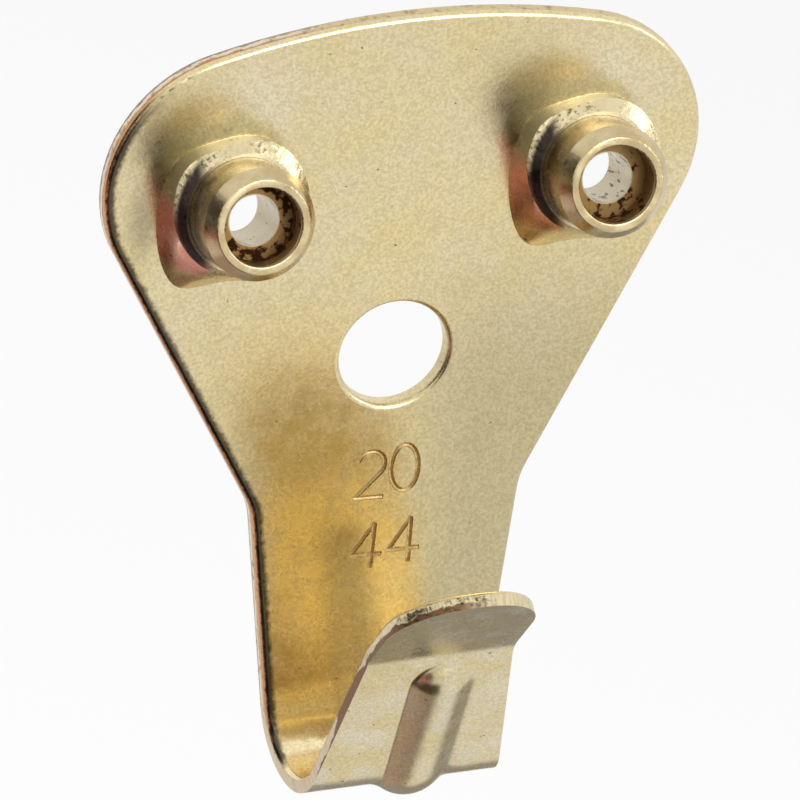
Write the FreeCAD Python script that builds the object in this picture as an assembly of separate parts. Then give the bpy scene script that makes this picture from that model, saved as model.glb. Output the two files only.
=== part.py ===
"""Picture hook: a stamped sheet plate with a folded hook, and two turned guides for its nails.

Frame: the back of the plate lies on the wall plane Y = 0 and the front faces -Y.  +Z is up.
The origin is where the axis of the round middle hole meets the wall.  Sizes are millimetres.
"""
import FreeCAD, Part
import math
import os
from FreeCAD import Vector

HEIGHT = 43.82              # from the bottom of the fold to the top of the crown

# Sheet
SHEET = 0.9                 # thickness of the plate
EDGE_ROLL = 0.35            # rolled-over edge that the blanking die leaves on the front

# Head of the plate
HEAD_WIDTH = 33.0
SHOULDER_RADIUS = 7.6       # round corners of the head
SHOULDER_RISE = 11.1        # height of their centres above the middle hole
CROWN_RADIUS = 45.0         # shallow arc along the top
FLANK_ANGLE = 27.0          # lean of the straight flanks from the vertical, degrees
HOLE_RADIUS = 3.0           # middle hole

# Strip below the head
STRIP_WIDTH = 12.36         # where the fold begins
STRIP_TAPER = 0.108         # each edge moves in by this much per millimetre down the strip
NECK_RADIUS = 4.2           # hollow between flank and strip

# Folded hook, measured on the outside of the fold
FOLD_RADIUS = 3.2
LEAF_LEAN = 23.7            # lean of the leaf away from the wall, degrees
LEAF_LENGTH = 9.4
LIP_WIDTH = 8.2             # top of the leaf and the lip
LIP_RADIUS = 3.0            # outward bend from leaf to lip
LIP_FLARE = 42.0            # lean of the lip, degrees
LIP_LENGTH = 6.8
TIP_FLAT = 0.8              # straight left at the lip's tip between its round corners

# Stiffening rib pressed outward through the leaf
RIB_RADIUS = 2.2            # round back of the rib
RIB_HEIGHT = 0.8
RIB_OFFSET = 0.48           # the rib was pressed this far to the right of the middle
RIB_FILLET = 0.25           # hollow along the rib's steep left foot
RIB_RUNOUT = 1.3            # wider hollow along its right foot
RIB_WRAP = 34.3             # how far the rib reaches round the fold at full height, degrees
RIB_MARGIN = 0.1            # flat left between the rib and the lip's bend

# Nail guides
GUIDE_INSET = 6.76          # axis of a guide from the plate's side
GUIDE_RISE = 10.25          # axis above the middle hole, where it crosses the plate's front
GUIDE_TILT = 13.5           # lean of the axis above the horizontal, degrees
GUIDE_PROUD = 3.07          # length standing out of the collar's lip
GUIDE_SEAT = 1.88           # length behind the lip
NAIL_BORE = 1.35            # radius of the nail's bore
HEAD_LEDGE = 0.75           # step that stops the nail's head
RECESS_DEPTH = 1.62         # recess for the nail's head
MOUTH_WALL = 0.43           # flat ring left round the recess
BEVEL_WIDTH = 0.49
BEVEL_LENGTH = 0.68
TAIL_BEVEL = 0.2
MOUTH_ROUND = 0.1

# Collars drawn out of the plate to hold the guides
COLLAR_HEIGHT = 2.75        # along the guide's axis, from the plate's front to the collar's lip
LIP_LAND = 0.16             # flat left round the guide at the lip
CREST_FALL = 0.42           # the sheared crest slopes away from the lip by this much
CREST_WALLS = [             # wall at the crest, by degrees from the top
    (0, 0.66),
    (48, 0.93),
    (90, 0.70),
    (140, 0.48),
    (180, 0.43),
]
FOOT_REACHES = [            # reach of the foot from the guide's axis, by degrees from the top
    (0, 3.75),
    (45, 3.95),
    (90, 3.87),
    (115, 4.21),
    (136, 4.93),
    (152, 5.40),
    (168, 4.95),
    (180, 4.75),
]
FOOT_DEPTH = 0.1            # the foot is rooted this deep in the plate
HOLLOW_WIDTH = 6.5          # oval hollow behind a collar
HOLLOW_HEIGHT = 8.4
HOLLOW_DROP = 0.95          # its centre below the axis
GRIP_LENGTH = 1.1           # length of collar that grips the guide, back from the lip
PRESS_CLEARANCE = 0.01      # radial room between guide and collar

UPRIGHT = 90                # angle of straight up from +X, degrees
OVERRUN = 0.45              # how far a cutting form runs past the face it opens
TOUCH = 0.002               # points closer than this coincide

SHOULDER_SIDE = HEAD_WIDTH / 2 - SHOULDER_RADIUS
CROWN_FALL = math.sqrt((CROWN_RADIUS - SHOULDER_RADIUS) ** 2 - SHOULDER_SIDE ** 2)
CROWN_TOP = SHOULDER_RISE - CROWN_FALL + CROWN_RADIUS
FOLD_DROP = HEIGHT - CROWN_TOP - FOLD_RADIUS
RECESS_RADIUS = NAIL_BORE + HEAD_LEDGE
MOUTH_RADIUS = RECESS_RADIUS + MOUTH_WALL
GUIDE_RADIUS = MOUTH_RADIUS + BEVEL_WIDTH
GUIDE_LENGTH = GUIDE_SEAT + GUIDE_PROUD
SOCKET_RADIUS = GUIDE_RADIUS + PRESS_CLEARANCE
LIP_ROUND = SOCKET_RADIUS + LIP_LAND

FRONT = Vector(0, -1, 0)
UP = Vector(0, 0, 1)
SIDE = Vector(1, 0, 0)


def wall_point(x, z):
    """Point on the wall plane."""
    return Vector(x, 0, z)


def arc(start, middle, end):
    return Part.Arc(start, middle, end).toShape()


def line(start, end):
    return Part.LineSegment(start, end).toShape()


def circle_point(centre, radius, angle):
    """Point on a circle in the wall plane, angle in degrees from +X towards +Z."""
    turn = math.radians(angle)
    return centre + Vector(radius * math.cos(turn), 0, radius * math.sin(turn))


def plate_half_outline():
    """Right half of the flat plate's outline, from the top of the crown to the start of the fold."""
    shoulder = wall_point(SHOULDER_SIDE, SHOULDER_RISE)
    crown = wall_point(0, SHOULDER_RISE - CROWN_FALL)
    crown_end = math.degrees(math.atan2(CROWN_FALL, SHOULDER_SIDE))
    top = crown + UP * CROWN_RADIUS
    top_middle = circle_point(crown, CROWN_RADIUS, (UPRIGHT + crown_end) / 2)
    shoulder_start = circle_point(crown, CROWN_RADIUS, crown_end)
    shoulder_middle = circle_point(shoulder, SHOULDER_RADIUS, (crown_end - FLANK_ANGLE) / 2)
    flank_start = circle_point(shoulder, SHOULDER_RADIUS, -FLANK_ANGLE)

    # The neck is a hollow arc between the flank and the edge of the strip.
    edge_angle = math.degrees(math.atan(STRIP_TAPER))
    flank_down = wall_point(-math.sin(math.radians(FLANK_ANGLE)), -math.cos(math.radians(FLANK_ANGLE)))
    edge_down = wall_point(-math.sin(math.radians(edge_angle)), -math.cos(math.radians(edge_angle)))
    strip_end = wall_point(STRIP_WIDTH / 2, -FOLD_DROP)
    across = (flank_start.x - strip_end.x) - STRIP_TAPER * (flank_start.z - strip_end.z)
    flank_length = across / (-flank_down.x + STRIP_TAPER * flank_down.z)
    corner = flank_start + flank_down * flank_length
    setback = NECK_RADIUS * math.tan(math.radians(FLANK_ANGLE - edge_angle) / 2)
    neck_start = corner - flank_down * setback
    neck_end = corner + edge_down * setback
    outward = wall_point(math.cos(math.radians(FLANK_ANGLE)), -math.sin(math.radians(FLANK_ANGLE)))
    neck = neck_start + outward * NECK_RADIUS
    neck_middle = circle_point(neck, NECK_RADIUS, 180 - (FLANK_ANGLE + edge_angle) / 2)

    return [
        arc(top, top_middle, shoulder_start),
        arc(shoulder_start, shoulder_middle, flank_start),
        line(flank_start, neck_start),
        arc(neck_start, neck_middle, neck_end),
        line(neck_end, strip_end),
    ]


def flat_plate():
    """Head and strip as one flat blank, down to the start of the fold."""
    right = plate_half_outline()
    left = [edge.mirror(Vector(), SIDE) for edge in right]
    strip_end = right[-1].Vertexes[-1].Point
    closing = line(strip_end, wall_point(-strip_end.x, strip_end.z))
    outline = Part.Wire(Part.__sortEdges__(right + left + [closing]))
    return Part.Face(outline).extrude(FRONT * SHEET)


class Fold:
    """Outside line of the folded hook in the plane X = 0, with the points where its stretches meet."""

    centre = Vector(0, -FOLD_RADIUS, -FOLD_DROP)
    start = Vector(0, 0, -FOLD_DROP)
    turn = 180 - LEAF_LEAN
    leaf_out = Vector(0, -math.cos(math.radians(LEAF_LEAN)), -math.sin(math.radians(LEAF_LEAN)))
    leaf_up = Vector(0, -math.sin(math.radians(LEAF_LEAN)), math.cos(math.radians(LEAF_LEAN)))
    lip_out = Vector(0, -math.cos(math.radians(LIP_FLARE)), -math.sin(math.radians(LIP_FLARE)))
    lip_up = Vector(0, -math.sin(math.radians(LIP_FLARE)), math.cos(math.radians(LIP_FLARE)))
    leaf_start = centre + leaf_out * FOLD_RADIUS
    leaf_end = leaf_start + leaf_up * LEAF_LENGTH
    lip_centre = leaf_end + leaf_out * LIP_RADIUS
    lip_start = lip_centre - lip_out * LIP_RADIUS
    lip_end = lip_start + lip_up * LIP_LENGTH

    @staticmethod
    def out_at(angle):
        """Outward direction at an angle round the fold, degrees from its start."""
        turn = math.radians(angle)
        return Vector(0, math.cos(turn), -math.sin(turn))

    @classmethod
    def off_outside(cls, point):
        """Distance of a point from the outside of the fold or of the leaf, whichever is nearer."""
        flat = Vector(0, point.y, point.z)
        off_fold = (flat - cls.centre).Length - FOLD_RADIUS
        off_leaf = (flat - cls.leaf_start).dot(cls.leaf_out)
        return min(abs(off_fold), abs(off_leaf))


def rolled_section(point, outward, width, slant):
    """Cross-section of the sheet at a point of the outside line, its inner corners rolled over.

    A slanting edge is cut obliquely here, which widens its roll; slant is its angle in degrees.
    """
    roll_width = EDGE_ROLL / math.cos(math.radians(slant))

    def corner(side, inset, depth):
        return point + SIDE * (side * (width / 2 - inset)) - outward * depth

    edges = [
        line(corner(-1, 0, 0), corner(1, 0, 0)),
        line(corner(1, roll_width, SHEET), corner(-1, roll_width, SHEET)),
    ]
    for side in (1, -1):
        roll_centre = corner(side, roll_width, SHEET - EDGE_ROLL)
        edges.append(line(corner(side, 0, 0), corner(side, 0, SHEET - EDGE_ROLL)))
        edges.append(roll_arc(roll_centre, SIDE * (side * roll_width), -outward))
    return Part.Wire(Part.__sortEdges__(edges))


def roll_arc(centre, across, inward):
    """Quarter round of a rolled edge, from the side of the sheet to its inside."""
    side_end = centre + across
    inside_end = centre + inward * EDGE_ROLL
    if across.Length - EDGE_ROLL < TOUCH * EDGE_ROLL:
        return arc(side_end, centre + (across + inward * EDGE_ROLL) * math.sqrt(0.5), inside_end)
    curve = Part.Ellipse(side_end, inside_end, centre)
    return Part.ArcOfEllipse(curve, 0, math.pi / 2).toShape()


def folded_leaf():
    """Fold and leaf, narrowing from the strip's width to the lip's."""
    fold_middle = Fold.centre + Fold.out_at(Fold.turn / 2) * FOLD_RADIUS
    spine = Part.Wire([
        arc(Fold.start, fold_middle, Fold.leaf_start),
        line(Fold.leaf_start, Fold.leaf_end),
    ])
    first = rolled_section(Fold.start, -FRONT, STRIP_WIDTH, math.degrees(math.atan(STRIP_TAPER)))
    last = rolled_section(Fold.leaf_end, Fold.leaf_out, LIP_WIDTH, 0)
    return spine.makePipeShell([first, last], True, True)


def flared_lip():
    """Outward bend above the leaf and the flat lip with its round corners."""
    bend = Part.Face(rolled_section(Fold.leaf_end, Fold.leaf_out, LIP_WIDTH, 0))
    bend = bend.revolve(Fold.lip_centre, SIDE, LIP_FLARE - LEAF_LEAN)
    wide = SIDE * (LIP_WIDTH / 2)
    outline = [Fold.lip_start - wide, Fold.lip_start + wide, Fold.lip_end + wide, Fold.lip_end - wide]
    tongue = Part.Face(Part.makePolygon(outline + outline[:1])).extrude(-Fold.lip_out * SHEET)
    tip_corners = [edge for edge in tongue.Edges if is_tip_corner(edge)]
    tongue = tongue.makeFillet((LIP_WIDTH - TIP_FLAT) / 2, tip_corners)
    return bend.fuse(tongue.makeFillet(EDGE_ROLL, [edge for edge in tongue.Edges if is_lip_rim(edge)]))


def is_tip_corner(edge):
    """Short edge through the sheet at one end of the lip's tip."""
    ends = [(vertex.Point - Fold.lip_end).dot(Fold.lip_up) for vertex in edge.Vertexes]
    return max(abs(end) for end in ends) < TOUCH and edge.Length < SHEET + TOUCH


def is_lip_rim(edge):
    """Edge round the lip on its inner side, apart from the one where it joins the bend."""
    depths = [(vertex.Point - Fold.lip_end).dot(-Fold.lip_out) for vertex in edge.Vertexes]
    heights = [(vertex.Point - Fold.lip_start).dot(Fold.lip_up) for vertex in edge.Vertexes]
    return min(depths) > SHEET - TOUCH and max(heights) > TOUCH


def rib_reach():
    """Half the rib's width on the outside of the leaf, with the mean hollow along its foot."""
    slope = math.acos((RIB_RADIUS - RIB_HEIGHT) / RIB_RADIUS)
    hollow = (RIB_FILLET + RIB_RUNOUT) / 2
    return RIB_RADIUS * math.sin(slope) + hollow * math.tan(slope / 2)


def rib_section(point, outward, radius, depth):
    """Round-backed section of the rib at a point of the outside line, reaching depth below it."""
    rise = RIB_RADIUS - RIB_HEIGHT
    half_chord = SIDE * math.sqrt(radius ** 2 - (rise - depth) ** 2)
    back = point + outward * (radius - rise)
    foot = point - outward * depth
    chord = line(foot - half_chord, foot + half_chord)
    return Part.Face(Part.Wire([chord, arc(foot + half_chord, back, foot - half_chord)]))


def rib_form(radius, depth):
    """Rib along the fold and the leaf, with a dome at each end, reaching depth below the outside."""
    rise = RIB_RADIUS - RIB_HEIGHT
    start_out = Fold.out_at(Fold.turn - RIB_WRAP)
    start = Fold.centre + start_out * FOLD_RADIUS
    stop = Fold.leaf_end - Fold.leaf_up * (rib_reach() + RIB_MARGIN)
    bent = rib_section(start, start_out, radius, depth)
    bent = bent.revolve(Fold.centre, -SIDE, RIB_WRAP)
    straight = rib_section(Fold.leaf_start, Fold.leaf_out, radius, depth)
    straight = straight.extrude(stop - Fold.leaf_start)
    fold_core = Part.makeCylinder(FOLD_RADIUS - depth, 2 * radius, Fold.centre - SIDE * radius, SIDE)
    low_dome = Part.makeSphere(radius, start - start_out * rise, SIDE).cut(fold_core)
    leaf_core = Part.makeCylinder(2 * radius, 2 * radius, stop - Fold.leaf_out * depth, -Fold.leaf_out)
    high_dome = Part.makeSphere(radius, stop - Fold.leaf_out * rise, SIDE).cut(leaf_core)
    form = bent.fuse([straight, low_dome, high_dome])
    form.translate(SIDE * RIB_OFFSET)
    return form


def is_rib_foot(edge):
    """Edge where the rib leaves the outside of the fold or of the leaf."""
    if edge.Length < TOUCH:
        return False
    points = edge.discretize(5)
    beside = max(abs(point.x - RIB_OFFSET) for point in points) < rib_reach()
    return beside and max(Fold.off_outside(point) for point in points) < TOUCH


def hollow_at(point):
    """Radius of the hollow along the rib's foot at a point of it."""
    return RIB_FILLET if point.x < RIB_OFFSET else RIB_RUNOUT


def rib_hollows(plate):
    """Plate with the hollow along the rib's foot, narrow on the left and widening round both ends."""
    document = FreeCAD.newDocument("rib")
    ribbed = document.addObject("Part::Feature", "ribbed")
    ribbed.Shape = plate
    hollowed = document.addObject("Part::Fillet", "hollowed")
    hollowed.Base = ribbed
    hollowed.Edges = [
        (number, hollow_at(edge.firstVertex().Point), hollow_at(edge.lastVertex().Point))
        for number, edge in enumerate(plate.Edges, 1) if is_rib_foot(edge)
    ]
    document.recompute()
    return hollowed.Shape.copy()


def guide_frame():
    """Outward axis of a guide and the direction square to it in the upright plane."""
    tilt = math.radians(GUIDE_TILT)
    axis = Vector(0, -math.cos(tilt), math.sin(tilt))
    return axis, SIDE.cross(axis)


def placed(shape, origin, x_axis, z_axis):
    """Shape moved from its own frame to an origin, its X and Z axes turned to the given ones."""
    turn = FreeCAD.Rotation(x_axis, z_axis.cross(x_axis), z_axis, "ZXY")
    shape.Placement = FreeCAD.Placement(origin, turn)
    return shape


def guide_root(side):
    """Where a guide's axis crosses the front of the plate."""
    return Vector(side * (HEAD_WIDTH / 2 - GUIDE_INSET), -SHEET, GUIDE_RISE)


def ellipse_wire(half_width, half_height, centre):
    """Upright ellipse in a plane parallel to the wall."""
    curve = Part.Ellipse(Vector(), half_height, half_width)
    return Part.Wire(placed(curve.toShape(), centre, UP, FRONT).copy())


def circle_wire(radius, centre):
    """Circle square to a guide's axis."""
    axis, square = guide_frame()
    return Part.Wire(placed(Part.Circle(Vector(), UP, radius).toShape(), centre, -square, axis).copy())


def collar_lip(side):
    axis, _ = guide_frame()
    return guide_root(side) + axis * COLLAR_HEIGHT


def drawn_outline(reaches, centre, up):
    """Smooth closed outline round a centre, mirrored left to right, from reaches by angle from the top."""
    right = [SIDE * (reach * math.sin(math.radians(angle))) + up * (reach * math.cos(math.radians(angle)))
             for angle, reach in reaches]
    left = [Vector(-point.x, point.y, point.z) for point in right[-2:0:-1]]
    curve = Part.BSplineCurve()
    curve.interpolate([centre + point for point in right + left], PeriodicFlag=True)
    return Part.Wire(curve.toShape())


def collar_body(side):
    """Outside of a collar: it rises from a drawn foot to a sheared crest that slopes off the lip."""
    axis, square = guide_frame()
    lip = collar_lip(side)
    crest = [(angle, SOCKET_RADIUS + wall) for angle, wall in CREST_WALLS]
    land = [(angle, LIP_ROUND) for angle, _ in CREST_WALLS]
    sections = [
        drawn_outline(FOOT_REACHES, guide_root(side) - FRONT * FOOT_DEPTH, UP),
        drawn_outline(crest, lip - axis * CREST_FALL, -square),
        drawn_outline(land, lip, -square),
    ]
    return Part.makeLoft(sections, True, True)


def collar_hollow(side):
    """Room inside a collar: the gripping bore, opening into the hollow that drawing leaves at the back."""
    axis, _ = guide_frame()
    lip = collar_lip(side)
    socket = Part.makeCylinder(SOCKET_RADIUS, COLLAR_HEIGHT + 2 * OVERRUN, lip + axis * OVERRUN, -axis)
    back = guide_root(side) - UP * HOLLOW_DROP - FRONT * (SHEET + OVERRUN)
    sections = [
        ellipse_wire(HOLLOW_WIDTH / 2, HOLLOW_HEIGHT / 2, back),
        circle_wire(SOCKET_RADIUS, lip - axis * GRIP_LENGTH),
    ]
    return socket.fuse(Part.makeLoft(sections, True, True))


def is_front_edge(edge):
    """Edge of the flat blank on its front, apart from the one where the fold begins."""
    box = edge.BoundBox
    on_front = abs(box.YMin + SHEET) < TOUCH and abs(box.YMax + SHEET) < TOUCH
    return on_front and box.ZMax > TOUCH - FOLD_DROP


def rolled_blank():
    """Flat plate with its middle hole, the front edges rolled over by the die."""
    hole = Part.makeCylinder(HOLE_RADIUS, SHEET + 2 * OVERRUN, -FRONT * OVERRUN, FRONT)
    blank = flat_plate().cut(hole)
    return blank.makeFillet(EDGE_ROLL, [edge for edge in blank.Edges if is_front_edge(edge)])


def hook_plate():
    plate = rolled_blank().fuse([folded_leaf(), flared_lip()]).removeSplitter()
    plate = plate.fuse(rib_form(RIB_RADIUS, SHEET / 2)).removeSplitter()
    plate = rib_hollows(plate).cut(rib_form(RIB_RADIUS - SHEET, SHEET + RIB_MARGIN))
    for side in (-1, 1):
        plate = plate.fuse(collar_body(side))
    for side in (-1, 1):
        plate = plate.cut(collar_hollow(side))
    return plate.removeSplitter()


def nail_guide(side):
    """Turned guide: nail bore, recess for the nail's head, bevelled mouth."""
    section = [
        (NAIL_BORE, 0),
        (GUIDE_RADIUS - TAIL_BEVEL, 0),
        (GUIDE_RADIUS, TAIL_BEVEL),
        (GUIDE_RADIUS, GUIDE_LENGTH - BEVEL_LENGTH),
        (MOUTH_RADIUS, GUIDE_LENGTH),
        (RECESS_RADIUS, GUIDE_LENGTH),
        (RECESS_RADIUS, GUIDE_LENGTH - RECESS_DEPTH),
        (NAIL_BORE, GUIDE_LENGTH - RECESS_DEPTH),
    ]
    points = [Vector(radius, 0, height) for radius, height in section]
    guide = Part.Face(Part.makePolygon(points + points[:1])).revolve(Vector(), UP, 360)
    mouth_edges = [edge for edge in guide.Edges if is_mouth_edge(edge)]
    guide = guide.makeFillet(MOUTH_ROUND, mouth_edges)
    axis, square = guide_frame()
    tail = collar_lip(side) - axis * GUIDE_SEAT
    return placed(guide, tail, -square, axis).copy()


def is_mouth_edge(edge):
    """Round edge on the flat ring at the mouth of a guide, in the guide's own frame."""
    box = edge.BoundBox
    return abs(box.ZMin - GUIDE_LENGTH) < MOUTH_ROUND and abs(box.ZMax - GUIDE_LENGTH) < MOUTH_ROUND \
        and box.XLength > RECESS_RADIUS


os.makedirs("parts", exist_ok=True)
nodes = {
    "hook_plate": hook_plate(),
    "left_nail_guide": nail_guide(-1),
    "right_nail_guide": nail_guide(1),
}
for name, shape in nodes.items():
    shape.exportStep("parts/" + name + ".step")
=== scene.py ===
"""Picture hook: looks of the plated plate and its turned nail guides, with camera and studio."""

import math

import bpy
from mathutils import Matrix, Vector


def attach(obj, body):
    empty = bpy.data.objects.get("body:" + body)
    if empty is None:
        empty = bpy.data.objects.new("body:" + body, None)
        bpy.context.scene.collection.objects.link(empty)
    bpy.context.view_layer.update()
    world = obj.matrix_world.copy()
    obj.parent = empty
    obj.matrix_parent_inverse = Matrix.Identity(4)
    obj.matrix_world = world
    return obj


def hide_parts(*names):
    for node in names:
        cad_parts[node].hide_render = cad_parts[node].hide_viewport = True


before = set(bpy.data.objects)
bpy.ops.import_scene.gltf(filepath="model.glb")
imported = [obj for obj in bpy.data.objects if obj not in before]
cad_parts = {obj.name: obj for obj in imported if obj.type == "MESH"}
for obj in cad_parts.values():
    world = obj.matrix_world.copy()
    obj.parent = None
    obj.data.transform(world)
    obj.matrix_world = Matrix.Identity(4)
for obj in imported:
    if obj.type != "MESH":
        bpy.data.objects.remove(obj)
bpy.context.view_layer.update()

MM = 0.001

# Sizes of the hook that the looks follow, in millimetres and degrees
SHEET = 0.9
HOLE_RADIUS = 3.0
GUIDE_SIDE = 9.74
GUIDE_RISE = 10.25
GUIDE_TILT = 13.5
COLLAR_HEIGHT = 2.75
GUIDE_PROUD = 3.07
RECESS_RADIUS = 2.1
NAIL_BORE = 1.35
RECESS_DEPTH = 1.62
CREST_FALL = 0.42
CREST_REACH = 1.0
SHOULDER_SIDE = 8.9
SHOULDER_RISE = 11.1
SHOULDER_RADIUS = 7.6
FLANK_ANGLE = 27.0
STRIP_WIDTH = 12.36
STRIP_TAPER = 0.108
FOLD_DROP = 20.846
LIP_ROUND = 3.19
LEAF_END = (0, -9.909, -13.53)
LEAF_OUT = (0, -0.9157, -0.4019)
LIP_END = (0, -14.977, -7.675)
LIP_OUT = (0, -0.7431, -0.6691)
SHEAR_SLOPE = -33           # turn of the shear lines on the hook's edge

# Limits for telling the plate's faces apart, in millimetres
PLATE_FRONT = -SHEET - 0.02
PLATE_FOOT = -20.9
HOOK_EDGE_SIDE = 3.9

# Mesh work: points nearer than this are one, in millimetres; edges flatter than these angles are smooth
MERGE_DISTANCE = 0.0005
PLATE_SMOOTH_ANGLE = 28
GUIDE_SMOOTH_ANGLE = 25

# Stamped figures: figure, left end, base line and lean in degrees
FIGURES = [
    ("2", -1.90, -8.40, -3.0), ("0", 0.12, -8.28, 1.0),
    ("4", -1.98, -12.66, -3.0), ("4", 0.14, -12.60, -1.0),
]
FIGURE_HEIGHT = 2.75
STROKE_RADIUS = 0.17
STROKE_LIFT = 0.075         # middle of a stroke's round bar in front of the plate

# Colours, linear
PLATING = (0.755, 0.625, 0.335)
WORN_PLATING = (0.75, 0.645, 0.41)
DEEP_PLATING = (0.68, 0.50, 0.21)
# From here to the rim shadow, all but the rubbed plating and the leaf's darkening are painted shade, sheen and
# reflections
LOWER_RIGHT_SHADE_PLATING = (0.50, 0.43, 0.25)
RUBBED_PLATING = (0.80, 0.715, 0.51)
PAINTED_SHEEN_PLATING = (0.77, 0.70, 0.50)
FOLD_REFLECTION_PLATING = (0.93, 0.785, 0.475)
NECK_REFLECTION_PLATING = (0.60, 0.51, 0.29)
SHADED_PLATING = (0.33, 0.30, 0.19)
FAR_LEFT_SHADE_PLATING = (0.24, 0.21, 0.15)
LEAF_DARKENING = (0.87, 0.87, 0.87)
UPPER_WALL_SHADE = (0.50, 0.455, 0.32)
RED_WALL_REFLECTION = (0.98, 0.50, 0.36)
GOLDEN_WALL_REFLECTION = (0.98, 0.74, 0.38)
LAND_SHADOW = (0.06, 0.042, 0.033)
RIM_SHADOW = (0.06, 0.046, 0.03)
COPPER = (0.62, 0.36, 0.19)
SHEARED_PALE = (0.74, 0.66, 0.52)
SHEARED_RED = (0.50, 0.22, 0.09)
SHEARED_GREY = (0.30, 0.25, 0.20)
SHEARED_GOLD = (0.62, 0.49, 0.27)
SHEARED_TEAR = (0.20, 0.12, 0.07)
HOOK_TAN = (0.60, 0.48, 0.34)
HOOK_LINES = (0.40, 0.28, 0.14)
HOOK_TEAR = (0.25, 0.135, 0.075)
HOOK_PITS = (0.07, 0.058, 0.03)
CREST_GRAINS = (0.10, 0.075, 0.035)
# Painted red reflection and painted shadow on the crest
CREST_RED_REFLECTION = (0.34, 0.16, 0.10)
CREST_GAP_SHADOW = (0.05, 0.036, 0.03)
GROOVE = (0.62, 0.46, 0.21)
GROOVE_DIRT = (0.30, 0.17, 0.06)
TURNED_BRASS = (0.53, 0.42, 0.235)
RUBBED_BRASS = (0.65, 0.55, 0.345)
RECESS_BROWN = (0.25, 0.14, 0.045)
# Painted shade in the nail bore
BORE_SHADE_BRASS = (0.50, 0.43, 0.29)
OLD_OIL = (0.055, 0.022, 0.010)

# Camera fitted to the photograph: angles in degrees, lengths in millimetres, the rest in pixels
CAMERA_ANGLES = (-21.002, 28.087, 3.092)
CAMERA_AIM = (0, 0, -3.11)
CAMERA_DISTANCE = 756.766
FOCAL_LENGTH = 14376.26
PHOTO_SIZE = 800
PHOTO_CENTRE = (385.908, 398.41)
SENSOR_WIDTH = 36

# Studio, in metres: name, colour, centre, facing, width and height of the cards that only reflections see
CARDS = [
    ("front_left_dark_card", (0.045, 0.038, 0.034), (-0.203, -0.26, -0.03), (0.616, 0.788, 0), 0.24, 0.20),
    ("left_dark_card", (0.06, 0.045, 0.04), (-0.30, -0.04, 0.11), (1, 0.1, 0), 0.24, 0.34),
    ("left_brown_card", (0.40, 0.16, 0.13), (-0.30, -0.05, -0.095), (1, 0.1, 0), 0.24, 0.07),
    ("dark_mat", (0.05, 0.036, 0.03), (-0.06, -0.105, -0.1185), (0, 0, 1), 0.14, 0.13),
    ("pink_mat", (0.50, 0.25, 0.31), (-0.14, -0.23, -0.1184), (0, 0, 1), 0.13, 0.12),
    ("far_pink_mat", (0.50, 0.26, 0.31), (-0.215, -0.10, -0.1185), (0, 0, 1), 0.17, 0.14),
    ("brown_mat", (0.46, 0.37, 0.37), (-0.06, 0.015, -0.1185), (0, 0, 1), 0.12, 0.11),
    ("low_back_mat", (0.30, 0.29, 0.28), (0.05, 0.045, -0.1185), (0, 0, 1), 0.14, 0.09),
]
FLOOR_COLOUR = (0.86, 0.86, 0.86)
FLOOR_DROP = 0.12
FLOOR_SIZE = 6.0
WORLD_STRENGTH = 1.02


def select_only(piece):
    """One piece selected and active, in object mode."""
    if bpy.context.mode != "OBJECT":
        bpy.ops.object.mode_set(mode="OBJECT")
    bpy.ops.object.select_all(action="DESELECT")
    piece.select_set(True)
    bpy.context.view_layer.objects.active = piece


def apply_modifiers(piece):
    """Modifiers of a piece taken into its mesh."""
    select_only(piece)
    for modifier in list(piece.modifiers):
        bpy.ops.object.modifier_apply(modifier=modifier.name)


def guide_axis():
    """Outward direction of both guides."""
    tilt = math.radians(GUIDE_TILT)
    return Vector((0, -math.cos(tilt), math.sin(tilt)))


def guide_root(side):
    """Where a guide's axis crosses the front of the plate, in millimetres."""
    return Vector((side * GUIDE_SIDE, -SHEET, GUIDE_RISE))


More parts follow.
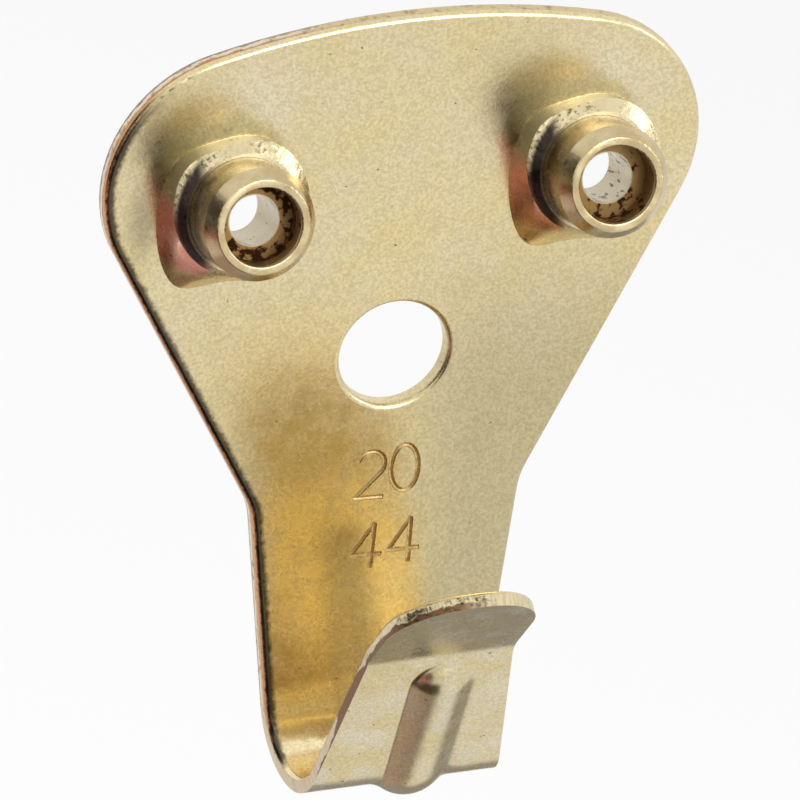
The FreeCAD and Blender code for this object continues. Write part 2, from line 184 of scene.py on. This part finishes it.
class Finish:
    """A procedural material, written as a chain of nodes."""

    def __init__(self, name):
        self.material = bpy.data.materials.new(name)
        self.material.use_nodes = True
        self.tree = self.material.node_tree
        self.shader = self.tree.nodes["Principled BSDF"]
        coordinates = self.tree.nodes.new("ShaderNodeTexCoord")
        self.place, self.facing = coordinates.outputs["Object"], coordinates.outputs["Normal"]

    def node(self, kind, inputs=(), **settings):
        """Node with its settings made and its inputs filled or linked."""
        made = self.tree.nodes.new("ShaderNode" + kind)
        for name, value in settings.items():
            setattr(made, name, value)
        for name, value in dict(inputs).items():
            self.put(made.inputs[name], value)
        return made

    def put(self, socket, value):
        """Links a socket to another one, or sets its value."""
        if isinstance(value, bpy.types.NodeSocket):
            self.tree.links.new(value, socket)
        elif isinstance(value, tuple) and len(value) == 3 and socket.type == "RGBA":
            socket.default_value = (*value, 1.0)
        else:
            socket.default_value = value

    def noise(self, size_mm, detail=2.0, roughness=0.5, place=None, stretch=None):
        """Noise with features of about this size."""
        place = place or self.place
        if stretch:
            place = self.node("Mapping", {"Vector": place, "Scale": stretch}).outputs["Vector"]
        made = self.node("TexNoise", {"Vector": place, "Scale": 1 / (size_mm * MM), "Detail": detail,
                                      "Roughness": roughness})
        return made.outputs["Fac"]

    def ramp(self, value, low, high, bottom=0.0, top=1.0):
        """Smooth step of a value from low to high."""
        made = self.node("MapRange", {"Value": value, "From Min": low, "From Max": high, "To Min": bottom,
                                      "To Max": top}, interpolation_type="SMOOTHSTEP")
        return made.outputs["Result"]

    def ramp_mm(self, length, low_mm, high_mm):
        """Smooth step from none to one of a length, between two lengths in millimetres."""
        return self.ramp(length, low_mm * MM, high_mm * MM)

    def math(self, operation, first, second=0.0):
        """Sum, product or other operation on values."""
        made = self.node("Math", operation=operation)
        self.put(made.inputs[0], first)
        self.put(made.inputs[1], second)
        return made.outputs["Value"]

    def times(self, product, *factors):
        """Product of values."""
        for factor in factors:
            product = self.math("MULTIPLY", product, factor)
        return product

    def wobble(self, size_mm, height_mm):
        """Noise about nought, as a length."""
        return self.times(self.math("SUBTRACT", self.noise(size_mm, 3.0, 0.6), 0.5), height_mm * MM)

    def mix(self, amount, first, second, blend="MIX"):
        """Colour between two colours."""
        made = self.node("Mix", data_type="RGBA", blend_type=blend)
        for socket, value in zip((made.inputs[0], made.inputs[6], made.inputs[7]), (amount, first, second)):
            self.put(socket, value)
        return made.outputs[2]

    def between(self, amount, first, second):
        """Value between two values."""
        return self.node("Mix", {"Factor": amount, "A": first, "B": second}, data_type="FLOAT").outputs[0]

    def axes(self, place=None):
        """The three parts of a place."""
        made = self.node("SeparateXYZ", {"Vector": place or self.place})
        return made.outputs["X"], made.outputs["Y"], made.outputs["Z"]

    def depth_below(self, point_mm, outward):
        """Depth of the place below a plane through a point, in metres."""
        offset = self.node("VectorMath", operation="SUBTRACT")
        self.put(offset.inputs[0], tuple(Vector(point_mm) * MM))
        self.put(offset.inputs[1], self.place)
        depth = self.node("VectorMath", operation="DOT_PRODUCT")
        self.put(depth.inputs[0], offset.outputs["Vector"])
        self.put(depth.inputs[1], tuple(outward))
        return depth.outputs["Value"]

    def inside_left_edge(self):
        """Distance inside the plate's left outline: shoulder, flank and strip."""
        across, _, up = self.axes()
        side = self.math("MINIMUM", self.math("SUBTRACT", across, -SHOULDER_SIDE * MM), 0.0)
        rise = self.math("SUBTRACT", up, SHOULDER_RISE * MM)
        shoulder = self.math("SUBTRACT", SHOULDER_RADIUS * MM, self.length(side, rise))
        lean = math.radians(FLANK_ANGLE)
        tangent = SHOULDER_RISE - SHOULDER_RADIUS * math.sin(lean)
        flank = self.depth_below((-SHOULDER_SIDE - SHOULDER_RADIUS * math.cos(lean), 0, tangent),
                                 (-math.cos(lean), 0, -math.sin(lean)))
        lean = math.atan(STRIP_TAPER)
        strip = self.depth_below((-STRIP_WIDTH / 2, 0, -FOLD_DROP), (-math.cos(lean), 0, -math.sin(lean)))
        below = self.math("MAXIMUM", flank, strip)
        return self.between(self.math("GREATER_THAN", up, tangent * MM), below, shoulder)

    def around_guide(self, lift_mm=0.0):
        """Offsets across and up from the nearer guide's middle, this far out along it, and their length."""
        across, _, up = self.axes()
        side = self.math("SUBTRACT", self.times(self.math("GREATER_THAN", across, 0.0), 2.0), 1.0)
        beside = self.math("SUBTRACT", across, self.times(side, GUIDE_SIDE * MM))
        above = self.math("SUBTRACT", up, (GUIDE_RISE + lift_mm * math.sin(math.radians(GUIDE_TILT))) * MM)
        return beside, above, self.length(beside, above)

    def length(self, first, second):
        """Length of two offsets square to each other."""
        return self.math("SQRT", self.math("ADD", self.times(first, first), self.times(second, second)))

    def patch(self, first, second, centre_mm, half_mm):
        """Soft oval patch: one in its middle, none at its rim."""
        first, second = (self.math("DIVIDE", self.math("SUBTRACT", value, middle * MM), half * MM)
                         for value, middle, half in zip((first, second), centre_mm, half_mm))
        return self.ramp(self.length(first, second), 1.0, 0.0)

    def bump(self, height, depth_mm, strength=1.0, under=None):
        """Normal bent by a height, on top of another bump where one is given."""
        made = self.node("Bump", {"Height": height, "Distance": depth_mm * MM, "Strength": strength})
        if under:
            self.put(made.inputs["Normal"], under)
        return made.outputs["Normal"]

    def finish(self, colour, roughness, normal):
        """The material, as a metal."""
        self.put(self.shader.inputs["Base Color"], colour)
        self.put(self.shader.inputs["Roughness"], roughness)
        self.put(self.shader.inputs["Normal"], normal)
        self.shader.inputs["Metallic"].default_value = 1.0
        return self.material


def plating_finish():
    """Satin champagne plating: fine grain, cloudy tone, specks, worn spots on the leaf; painted reflections and
    shade on the strip and round the collars, and a painted shadow band along the left rim.
    """
    look = Finish("champagne_plating")
    across, out, up = look.axes()
    grain = look.noise(0.16, 2.0, 0.55)
    cloud = look.noise(5.0, 3.0, 0.55)
    speck = look.ramp(look.noise(0.42, 1.0), 0.755, 0.81)
    stain = look.ramp(look.noise(1.7, 4.0, 0.6), 0.56, 0.75)
    in_front = look.ramp_mm(out, -0.45, -0.7)

    # Cloudy tone, then the leaf, a painted shade towards the lower right, and painted reflections on the fold
    # and the neck
    colour = look.mix(look.ramp(cloud, 0.35, 0.7), PLATING, WORN_PLATING)
    leaf = look.ramp_mm(out, -3.6, -4.6)
    rubbed = look.times(leaf, look.ramp(look.noise(2.2, 4.0, 0.6), 0.42, 0.66))
    colour = look.mix(rubbed, colour, RUBBED_PLATING)
    colour = look.mix(look.times(stain, 0.08), colour, DEEP_PLATING)
    # Painted shade: darker towards the lower right
    lower_right_shade = look.times(look.ramp_mm(up, 9, -4), look.ramp_mm(across, -1, 5), look.ramp_mm(out, -4.6, -3.6))
    colour = look.mix(look.times(lower_right_shade, 0.8), colour, LOWER_RIGHT_SHADE_PLATING)
    colour = look.mix(leaf, colour, look.mix(1.0, colour, LEAF_DARKENING, "MULTIPLY"))
    # Painted reflection: the strip's lower left lighter and golder, as if lit from the fold
    fold = look.times(look.ramp_mm(up, -9, -16), look.ramp_mm(out, -5, -3), look.ramp_mm(across, 3, 0))
    colour = look.mix(fold, colour, FOLD_REFLECTION_PLATING)
    # Painted reflection: deeper gold over the neck
    neck = look.times(look.patch(across, up, (-4.5, -10.5), (5.5, 7.0)), in_front)
    colour = look.mix(look.times(neck, 0.85), colour, NECK_REFLECTION_PLATING)

    # Painted light and shade round the collars: a painted sheen above them, painted shade to their left and on
    # their upper walls, painted reflections on their left walls and a painted shadow on the land
    beside, above, _ = look.around_guide()
    # Painted sheen above each collar
    sheen_above_guide = look.times(look.patch(beside, above, (0.2, 5.2), (5.5, 4.0)), look.times(in_front, 0.75))
    colour = look.mix(sheen_above_guide, colour, PAINTED_SHEEN_PLATING)
    # Painted shade to the upper left of each collar, and darker painted shade to its far left
    upper_left = look.times(look.patch(beside, above, (-3.4, 3.9), (3.0, 3.4)), look.times(in_front, 0.6))
    colour = look.mix(upper_left, colour, SHADED_PLATING)
    far_left = look.times(look.patch(beside, above, (-4.6, -0.6), (1.5, 3.4)), look.times(in_front, 0.6))
    colour = look.mix(look.times(far_left, look.ramp_mm(across, -10, -11)), colour, FAR_LEFT_SHADE_PLATING)
    # Painted shade on each collar's upper wall, which is also made rougher
    upper_wall = look.times(look.ramp_mm(out, -0.95, -1.15), look.ramp_mm(above, 1.6, 2.6))
    colour = look.mix(look.times(upper_wall, 0.85), colour, UPPER_WALL_SHADE)
    # Painted reflections on the collars' left walls, red above and golden lower down
    left_side = look.times(look.ramp_mm(out, -0.95, -1.1), look.ramp_mm(beside, -1.4, -2.4),
                           look.ramp_mm(up, 3, 4))
    left_wall = look.times(left_side, look.ramp(look.axes(look.facing)[0], -0.02, -0.25))
    wall_reflection = look.mix(look.ramp_mm(above, -2.5, -3.2), RED_WALL_REFLECTION, GOLDEN_WALL_REFLECTION)
    colour = look.mix(look.times(left_wall, look.ramp_mm(above, 1.6, 0.6)), colour, wall_reflection)
    _, _, crest_reach = look.around_guide(COLLAR_HEIGHT)
    land = look.times(left_side, look.ramp_mm(out, -2.4, -2.8), 0.9,
                      look.ramp_mm(crest_reach, LIP_ROUND + 0.1, LIP_ROUND))
    colour = look.mix(land, colour, LAND_SHADOW)

    # Painted shadow band with a coppery edge along the left outline
    inside = look.math("ADD", look.inside_left_edge(), look.wobble(0.35, 0.35))
    front = look.times(look.ramp_mm(out, -0.45, -0.6), look.ramp_mm(out, -3.0, -2.0),
                       look.ramp_mm(up, 17.6, 14.5))
    band = look.times(front, look.ramp_mm(inside, 0.70, 0.36))
    colour = look.mix(look.times(band, 0.93), colour, RIM_SHADOW)
    rim = look.times(front, look.ramp_mm(inside, 0.17, 0.09))
    colour = look.mix(rim, colour, COPPER)

    # Grain and specks over all of it
    tone = look.ramp(grain, 0.25, 0.75, 0.83, 1.10)
    grey = look.node("CombineColor", {"Red": tone, "Green": tone, "Blue": tone}).outputs["Color"]
    colour = look.mix(1.0, colour, grey, "MULTIPLY")
    colour = look.mix(look.times(speck, 0.75), colour, OLD_OIL)

    roughness = look.ramp(look.noise(1.1, 3.0), 0.3, 0.7, 0.22, 0.30)
    roughness = look.math("ADD", roughness, look.times(stain, 0.06))
    roughness = look.math("ADD", roughness, look.times(upper_wall, 0.15))
    polished = look.times(look.ramp_mm(up, -1, -6), look.ramp_mm(across, 3, 0))
    texture = look.math("SUBTRACT", 1.0, look.times(polished, 0.75))
    normal = look.bump(look.times(look.noise(3.2, 2.0), texture), 0.012, 0.3)
    normal = look.bump(look.times(grain, texture), 0.011, 0.5, normal)
    return look.finish(colour, roughness, normal)


def sheared_finish():
    """Cut edge round the plate: fine shear lines through the sheet, torn spots, coppery on the left."""
    look = Finish("sheared_edge")
    across, out, _ = look.axes()
    torn = look.ramp(look.noise(0.5, 4.0, 0.65), 0.52, 0.66)
    lines = look.noise(0.12, 2.0, 0.6, stretch=(1.0, 0.12, 1.0))
    ragged = look.math("ADD", out, look.wobble(0.8, 0.5))
    layers = look.mix(look.ramp_mm(ragged, -0.36, -0.48), SHEARED_PALE, SHEARED_RED)
    layers = look.mix(look.ramp_mm(ragged, -0.20, -0.12), layers, SHEARED_GREY)
    colour = look.mix(look.ramp_mm(across, -2, -9), SHEARED_GOLD, layers)
    colour = look.mix(look.times(torn, 0.5), colour, SHEARED_TEAR)
    colour = look.mix(look.ramp(lines, 0.4, 0.75, 0.0, 0.25), colour, WORN_PLATING)
    roughness = look.ramp(torn, 0.0, 1.0, 0.28, 0.5)
    normal = look.bump(lines, 0.012, 0.7)
    normal = look.bump(look.noise(0.22, 3.0, 0.6), 0.03, 0.45, normal)
    return look.finish(colour, roughness, normal)


def hook_edge_finish():
    """Cut edge of the leaf and lip: burnished on the inside, torn brown on the outside, with shear lines."""
    look = Finish("hook_edge")
    through = look.node("Mapping", {"Vector": look.place, "Rotation": (math.radians(SHEAR_SLOPE), 0, 0)})
    across, _, up = look.axes()
    lines = look.noise(0.16, 2.0, 0.6, place=through.outputs["Vector"], stretch=(1.0, 0.10, 1.0))
    lip_depth = look.depth_below(LIP_END, LIP_OUT)
    leaf_depth = look.depth_below(LEAF_END, LEAF_OUT)
    on_lip = look.ramp_mm(up, -13.3, -12.6)
    depth = look.between(on_lip, leaf_depth, lip_depth)
    ragged = look.wobble(0.9, 1.3)
    on_leaf = look.times(look.ramp_mm(up, -19.0, -17.2), look.ramp_mm(up, -12.6, -15.0))
    wide = look.math("ADD", on_leaf, look.times(on_lip, 0.35))
    reach = look.math("ADD", look.times(wide, 0.6 * MM), 0.10 * MM)
    past_reach = look.math("SUBTRACT", look.math("ADD", depth, look.times(ragged, 0.5)), reach)
    left = look.ramp_mm(across, 1.0, -1.0)
    torn = look.times(look.ramp_mm(past_reach, 0.05, -0.05), look.times(left, look.ramp_mm(up, -22.5, -21.0)))
    tan = look.times(left, look.ramp_mm(up, -11.0, -13.5))
    colour = look.mix(look.times(tan, 0.8), WORN_PLATING, HOOK_TAN)
    colour = look.mix(look.ramp(lines, 0.42, 0.7, 0.0, 0.45), colour, HOOK_LINES)
    colour = look.mix(torn, colour, HOOK_TEAR)
    pitted = look.ramp(look.noise(0.34, 4.0, 0.7), 0.46, 0.66)
    near_tip = look.times(look.ramp_mm(up, -9.9, -9.0), look.ramp_mm(across, 1.4, 0.2))
    colour = look.mix(look.times(pitted, near_tip), colour, HOOK_PITS)
    roughness = look.ramp(torn, 0.0, 1.0, 0.25, 0.5)
    normal = look.bump(lines, 0.03, 0.8)
    normal = look.bump(torn, 0.05, 0.6, normal)
    normal = look.bump(look.noise(0.2, 3.0, 0.6), 0.03, 0.5, normal)
    return look.finish(colour, roughness, normal)


def crest_finish():
    """Sheared crest of a collar, torn in places into fine bright and dark grains, with a painted red reflection
    on its lower left and a painted shadow at its inner edge there.
    """
    look = Finish("sheared_crest")
    grains = look.noise(0.24, 3.0, 0.65)
    lines = look.noise(0.2, 2.0, 0.6, stretch=(1.0, 0.15, 0.5))
    rough_part = look.ramp(look.noise(1.6, 2.0), 0.40, 0.60)
    dark = look.times(look.ramp(grains, 0.52, 0.62), rough_part)
    colour = look.mix(look.ramp(lines, 0.4, 0.7, 0.0, 0.4), WORN_PLATING, DEEP_PLATING)
    colour = look.mix(look.times(dark, 0.8), colour, CREST_GRAINS)
    beside, above, reach = look.around_guide(COLLAR_HEIGHT)
    # Painted red reflection on the crest's lower left, and painted shadow at its inner edge beside the guide
    on_left = look.ramp_mm(beside, -1.7, -2.5)
    colour = look.mix(look.times(on_left, look.ramp_mm(above, 0.6, -0.4)), colour, CREST_RED_REFLECTION)
    gap = look.times(on_left, look.ramp_mm(reach, LIP_ROUND + 0.55, LIP_ROUND + 0.3))
    colour = look.mix(gap, colour, CREST_GAP_SHADOW)
    normal = look.bump(lines, 0.03, 0.6)
    torn_height = look.times(grains, look.ramp(rough_part, 0.0, 1.0, 0.25, 1.0))
    normal = look.bump(torn_height, 0.09, 0.75, normal)
    return look.finish(colour, look.ramp(rough_part, 0.0, 1.0, 0.22, 0.32), normal)


def groove_finish():
    """Bottom of the stamped figures, a little darker than the plating."""
    look = Finish("stamped_groove")
    dirt = look.ramp(look.noise(0.3, 3.0, 0.6), 0.45, 0.7)
    colour = look.mix(look.times(dirt, 0.6), GROOVE, GROOVE_DIRT)
    normal = look.bump(look.noise(0.14, 2.0), 0.012, 0.6)
    return look.finish(colour, look.ramp(dirt, 0.0, 1.0, 0.25, 0.4), normal)


def guide_finish(name, side, rust_amount, low_stain, worn_bore):
    """Turned guide: fine tool rings round its axis, old oil and rust in the recess."""
    look = Finish(name)
    axis = guide_axis()
    mouth = (guide_root(side) + axis * (COLLAR_HEIGHT + GUIDE_PROUD)) * MM
    turn = Vector((0, 0, 1)).rotation_difference(axis).to_matrix().inverted().to_euler()
    own = look.node("Mapping", {"Vector": look.place, "Location": tuple(-(turn.to_matrix() @ mouth)),
                                "Rotation": tuple(turn)}).outputs["Vector"]
    own_x, own_y, depth = look.axes(own)
    radius = look.length(own_x, own_y)

    round_axis = look.node("CombineXYZ", {"X": radius, "Y": depth}).outputs["Vector"]
    rings = look.noise(0.07, place=round_axis)
    tone = look.noise(1.0, 3.0, 0.6)
    colour = look.mix(look.ramp(tone, 0.35, 0.7), TURNED_BRASS, RUBBED_BRASS)
    colour = look.mix(look.ramp(rings, 0.35, 0.7, 0.0, 0.3), colour, DEEP_PLATING)

    above_ledge = look.times(look.ramp_mm(depth, -(RECESS_DEPTH + 0.25), -(RECESS_DEPTH + 0.1)),
                             look.ramp_mm(radius, NAIL_BORE + 0.01, NAIL_BORE + 0.06))
    in_recess = look.times(look.ramp_mm(radius, RECESS_RADIUS + 0.06, RECESS_RADIUS - 0.02),
                           look.ramp_mm(depth, -0.10, -0.35), above_ledge)
    colour = look.mix(look.times(in_recess, 0.9), colour, RECESS_BROWN)
    corner = look.times(look.ramp_mm(depth, -0.7, -1.3),
                        look.ramp_mm(radius, RECESS_RADIUS - 0.75, RECESS_RADIUS - 0.35))
    low = look.ramp(look.axes()[2], mouth.z - 1.1 * MM, mouth.z - 1.7 * MM)
    blotch = look.math("ADD", look.noise(0.55, 4.0, 0.62), look.times(corner, rust_amount))
    blotch = look.math("ADD", blotch, look.times(low, low_stain))
    rust = look.times(in_recess, look.ramp(blotch, 0.58, 0.66))
    colour = look.mix(rust, colour, OLD_OIL)
    # Painted shade darkens the nail bore; the streaks in it are scratches
    bore = look.ramp_mm(radius, NAIL_BORE + 0.1, NAIL_BORE)
    colour = look.mix(bore, colour, BORE_SHADE_BRASS)
    streaks = look.noise(0.6, 2.0, 0.5, place=own, stretch=(2.0, 2.0, 0.7))
    scratched = look.times(bore, look.ramp(streaks, worn_bore, worn_bore + 0.05))
    colour = look.mix(look.times(scratched, 0.8), colour, OLD_OIL)

    roughness = look.math("ADD", look.ramp(tone, 0.3, 0.7, 0.20, 0.30), look.times(rust, 0.2))
    roughness = look.math("ADD", roughness, look.times(in_recess, 0.28))
    normal = look.bump(rings, 0.006, 0.6)
    normal = look.bump(look.noise(0.3, 3.0, 0.6), 0.02, 0.35, normal)
    return look.finish(colour, roughness, normal)


def bow(centre, half_width, half_height, start, end, steps=12):
    """Points along a round stroke, angles in degrees from the right, counter-clockwise."""
    points = []
    for step in range(steps + 1):
        angle = math.radians(start + (end - start) * step / steps)
        points.append((centre[0] + half_width * math.cos(angle), centre[1] + half_height * math.sin(angle)))
    return points


# Strokes of the figures, on a body one unit high
STROKES = {
    "2": [bow((0.30, 0.72), 0.28, 0.28, 165, -38) + [(0.03, 0.01)], [(0.0, 0.0), (0.62, 0.0)]],
    "0": [bow((0.30, 0.50), 0.28, 0.50, 90, 450, 24)],
    "4": [[(0.46, 1.0), (0.02, 0.30)], [(0.0, 0.30), (0.66, 0.30)], [(0.45, 0.98), (0.45, 0.0)]],
}


def merge_points(piece, distance, outward=False):
    """Points of a mesh that coincide made one, its faces turned outward where asked."""
    select_only(piece)
    bpy.ops.object.mode_set(mode="EDIT")
    bpy.ops.mesh.select_all(action="SELECT")
    bpy.ops.mesh.remove_doubles(threshold=distance)
    if outward:
        bpy.ops.mesh.normals_make_consistent(inside=False)
    bpy.ops.object.mode_set(mode="OBJECT")


def stroke_solid(points, left, base, turn):
    """Round bar along one stroke of a figure, lying in the front of the plate."""
    curve = bpy.data.curves.new("stroke", "CURVE")
    curve.dimensions = "3D"
    curve.bevel_depth = STROKE_RADIUS
    curve.bevel_resolution = 3
    curve.use_fill_caps = True
    line = curve.splines.new("POLY")
    closed = (Vector(points[0]) - Vector(points[-1])).length < 0.001
    points = points[:-1] if closed else points
    line.points.add(len(points) - 1)
    line.use_cyclic_u = closed
    lean = math.radians(turn)
    for knot, (across, up) in zip(line.points, points):
        x = (across * math.cos(lean) - up * math.sin(lean)) * FIGURE_HEIGHT
        z = (across * math.sin(lean) + up * math.cos(lean)) * FIGURE_HEIGHT
        knot.co = (left + x, -(SHEET + STROKE_LIFT), base + z, 1.0)
    bar = bpy.data.objects.new("stroke", curve)
    bpy.context.collection.objects.link(bar)
    select_only(bar)
    bpy.ops.object.convert(target="MESH")
    bar = bpy.context.object
    merge_points(bar, MERGE_DISTANCE, outward=True)
    return bar


def stamp_figures(plate, groove):
    """Cuts plain figures into the front of the strip, set unevenly as single punches are."""
    for figure, left, base, turn in FIGURES:
        for points in STROKES[figure]:
            bar = stroke_solid(points, left, base, turn)
            bar.data.materials.clear()
            bar.data.materials.append(groove)
            cut = plate.modifiers.new("stroke", "BOOLEAN")
            cut.object = bar
            cut.operation = "DIFFERENCE"
            cut.solver = "EXACT"
            cut.material_mode = "TRANSFER"
            apply_modifiers(plate)
            bpy.data.objects.remove(bar)


def resize(piece, factor):
    """Piece scaled about the origin, with the scale in its mesh."""
    select_only(piece)
    piece.scale = (factor, factor, factor)
    bpy.ops.object.transform_apply(location=False, rotation=False, scale=True)


def is_on_plate(centre):
    """Whether a face's middle lies in the flat plate."""
    return centre.y > PLATE_FRONT and centre.z > PLATE_FOOT


def is_sheared(face):
    """Face on the cut edge round the flat plate."""
    centre = face.center
    clear_of_hole = Vector((centre.x, centre.z)).length > HOLE_RADIUS + 0.5
    return is_on_plate(centre) and abs(face.normal.y) < 0.2 and clear_of_hole


def is_hook_edge(face):
    """Face on the cut edge beside the fold and the leaf, or round the lip."""
    normal, centre = face.normal, face.center
    if centre.z > 0 or is_on_plate(centre):
        return False
    if centre.z > LEAF_END[2] and centre.y < LEAF_END[1] + 0.3:
        return abs(normal.dot(Vector(LIP_OUT))) < 0.45 and abs(normal.x) + normal.z > 0.5
    return abs(normal.x) > 0.93 and abs(centre.x) > HOOK_EDGE_SIDE


def is_crest(face):
    """Face on the sheared crest of a collar."""
    axis = guide_axis()
    for side in (-1, 1):
        reach = face.center - guide_root(side)
        height = reach.dot(axis)
        radius = (reach - axis * height).length
        in_height = abs(COLLAR_HEIGHT - CREST_FALL / 2 - height) < 0.45 * CREST_FALL
        if in_height and abs(radius - LIP_ROUND) < CREST_REACH:
            return True
    return False


def stamped_plate(plating, sheared, hook_edge, crest, groove):
    """Plate with its stamped figures, on the form of the solid; its mesh is worked on in millimetres."""
    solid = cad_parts["hook_plate"]
    plate = bpy.data.objects.new("stamped_plate", solid.data.copy())
    bpy.context.collection.objects.link(plate)
    plate.data.materials.clear()
    for material in (plating, sheared, hook_edge, crest, groove):
        plate.data.materials.append(material)
    resize(plate, 1 / MM)
    merge_points(plate, MERGE_DISTANCE)
    bpy.ops.mesh.customdata_custom_splitnormals_clear()
    for face in plate.data.polygons:
        kinds = (is_sheared(face), is_hook_edge(face), is_crest(face), True)
        face.material_index = (1, 2, 3, 0)[kinds.index(True)]
    stamp_figures(plate, groove)
    resize(plate, MM)
    bpy.ops.object.shade_smooth_by_angle(angle=math.radians(PLATE_SMOOTH_ANGLE))
    even = plate.modifiers.new("flat_faces_stay_flat", "WEIGHTED_NORMAL")
    even.mode = "FACE_AREA"
    even.weight = 100
    even.keep_sharp = True
    apply_modifiers(plate)
    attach(plate, "root")
    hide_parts("hook_plate")


def turned_guide(node_name, piece_name, material):
    """Guide on the form of its solid, its turned faces smooth."""
    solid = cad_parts[node_name]
    guide = bpy.data.objects.new(piece_name, solid.data.copy())
    bpy.context.collection.objects.link(guide)
    guide.data.materials.clear()
    guide.data.materials.append(material)
    for face in guide.data.polygons:
        face.material_index = 0
    merge_points(guide, MERGE_DISTANCE * MM)
    bpy.ops.mesh.customdata_custom_splitnormals_clear()
    bpy.ops.object.shade_smooth_by_angle(angle=math.radians(GUIDE_SMOOTH_ANGLE))
    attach(guide, "root")
    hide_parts(node_name)


def camera_from_photo():
    """Camera that stands where the photograph was taken from."""
    azimuth, elevation, roll = (math.radians(angle) for angle in CAMERA_ANGLES)
    aim = Vector(CAMERA_AIM) * MM
    back = Vector((math.sin(azimuth) * math.cos(elevation), -math.cos(azimuth) * math.cos(elevation),
                   math.sin(elevation)))
    right = (-back).cross(Vector((0, 0, 1))).normalized()
    up = right.cross(-back)
    turned_right = right * math.cos(roll) + up * math.sin(roll)
    turned_up = up * math.cos(roll) - right * math.sin(roll)
    data = bpy.data.cameras.new("photo_camera")
    data.sensor_width = SENSOR_WIDTH
    data.lens = FOCAL_LENGTH * SENSOR_WIDTH / PHOTO_SIZE
    data.shift_x = (PHOTO_SIZE / 2 - PHOTO_CENTRE[0]) / PHOTO_SIZE
    data.shift_y = (PHOTO_CENTRE[1] - PHOTO_SIZE / 2) / PHOTO_SIZE
    camera = bpy.data.objects.new("photo_camera", data)
    bpy.context.collection.objects.link(camera)
    turn = Matrix((turned_right, turned_up, back)).transposed().to_4x4()
    camera.matrix_world = Matrix.Translation(aim + back * CAMERA_DISTANCE * MM) @ turn
    bpy.context.scene.camera = camera


def plain_card(name, colour, centre, facing, width, height, seen=False):
    """Flat card of the studio. Only reflections see it, unless it is to be seen by all."""
    bpy.ops.object.select_all(action="DESELECT")
    bpy.ops.mesh.primitive_plane_add(size=1.0)
    card = bpy.context.object
    card.name = name
    turn = Vector(facing).to_track_quat("Z", "Y").to_matrix().to_4x4()
    card.matrix_world = Matrix.Translation(Vector(centre)) @ turn @ Matrix.Diagonal((width, height, 1, 1))
    material = bpy.data.materials.new(name)
    material.use_nodes = True
    shader = material.node_tree.nodes["Principled BSDF"]
    shader.inputs["Base Color"].default_value = (*colour, 1.0)
    shader.inputs["Roughness"].default_value = 0.9
    shader.inputs["Specular IOR Level"].default_value = 0.0
    card.data.materials.append(material)
    card.visible_camera = card.visible_diffuse = card.visible_shadow = seen


def soft_lamp(name, place, width, height, watts, spread):
    """Soft rectangular lamp aimed at the hook, its light kept within a spread in degrees."""
    data = bpy.data.lights.new(name, "AREA")
    data.shape = "RECTANGLE"
    data.size = width
    data.size_y = height
    data.energy = watts
    data.spread = math.radians(spread)
    lamp = bpy.data.objects.new(name, data)
    bpy.context.collection.objects.link(lamp)
    lamp.location = Vector(place)
    lamp.rotation_euler = (-Vector(place)).to_track_quat("-Z", "Y").to_euler()


def studio():
    """Pale floor well below the hung hook, soft light all round, two soft lamps and cards to mirror."""
    plain_card("studio_floor", FLOOR_COLOUR, (0, 0, -FLOOR_DROP), (0, 0, 1), FLOOR_SIZE, FLOOR_SIZE,
               seen=True)
    for card in CARDS:
        plain_card(*card)
    soft_lamp("right_softbox", (0.412, -0.215, 0.155), 0.09, 0.09, 0.20, 180)
    soft_lamp("front_softbox", (0.17, -0.49, 0.25), 0.28, 0.34, 0.125, 45)
    world = bpy.data.worlds.new("studio")
    world.use_nodes = True
    background = world.node_tree.nodes["Background"]
    background.inputs["Color"].default_value = (1, 1, 1, 1)
    background.inputs["Strength"].default_value = WORLD_STRENGTH
    bpy.context.scene.world = world
    bpy.context.scene.view_settings.view_transform = "Standard"


stamped_plate(plating_finish(), sheared_finish(), hook_edge_finish(), crest_finish(), groove_finish())
turned_guide("left_nail_guide", "left_guide", guide_finish("turned_guide_left", -1, 0.13, 0.0, 0.68))
turned_guide("right_nail_guide", "right_guide", guide_finish("turned_guide_right", 1, 0.0, 0.09, 0.60))
camera_from_photo()
studio()
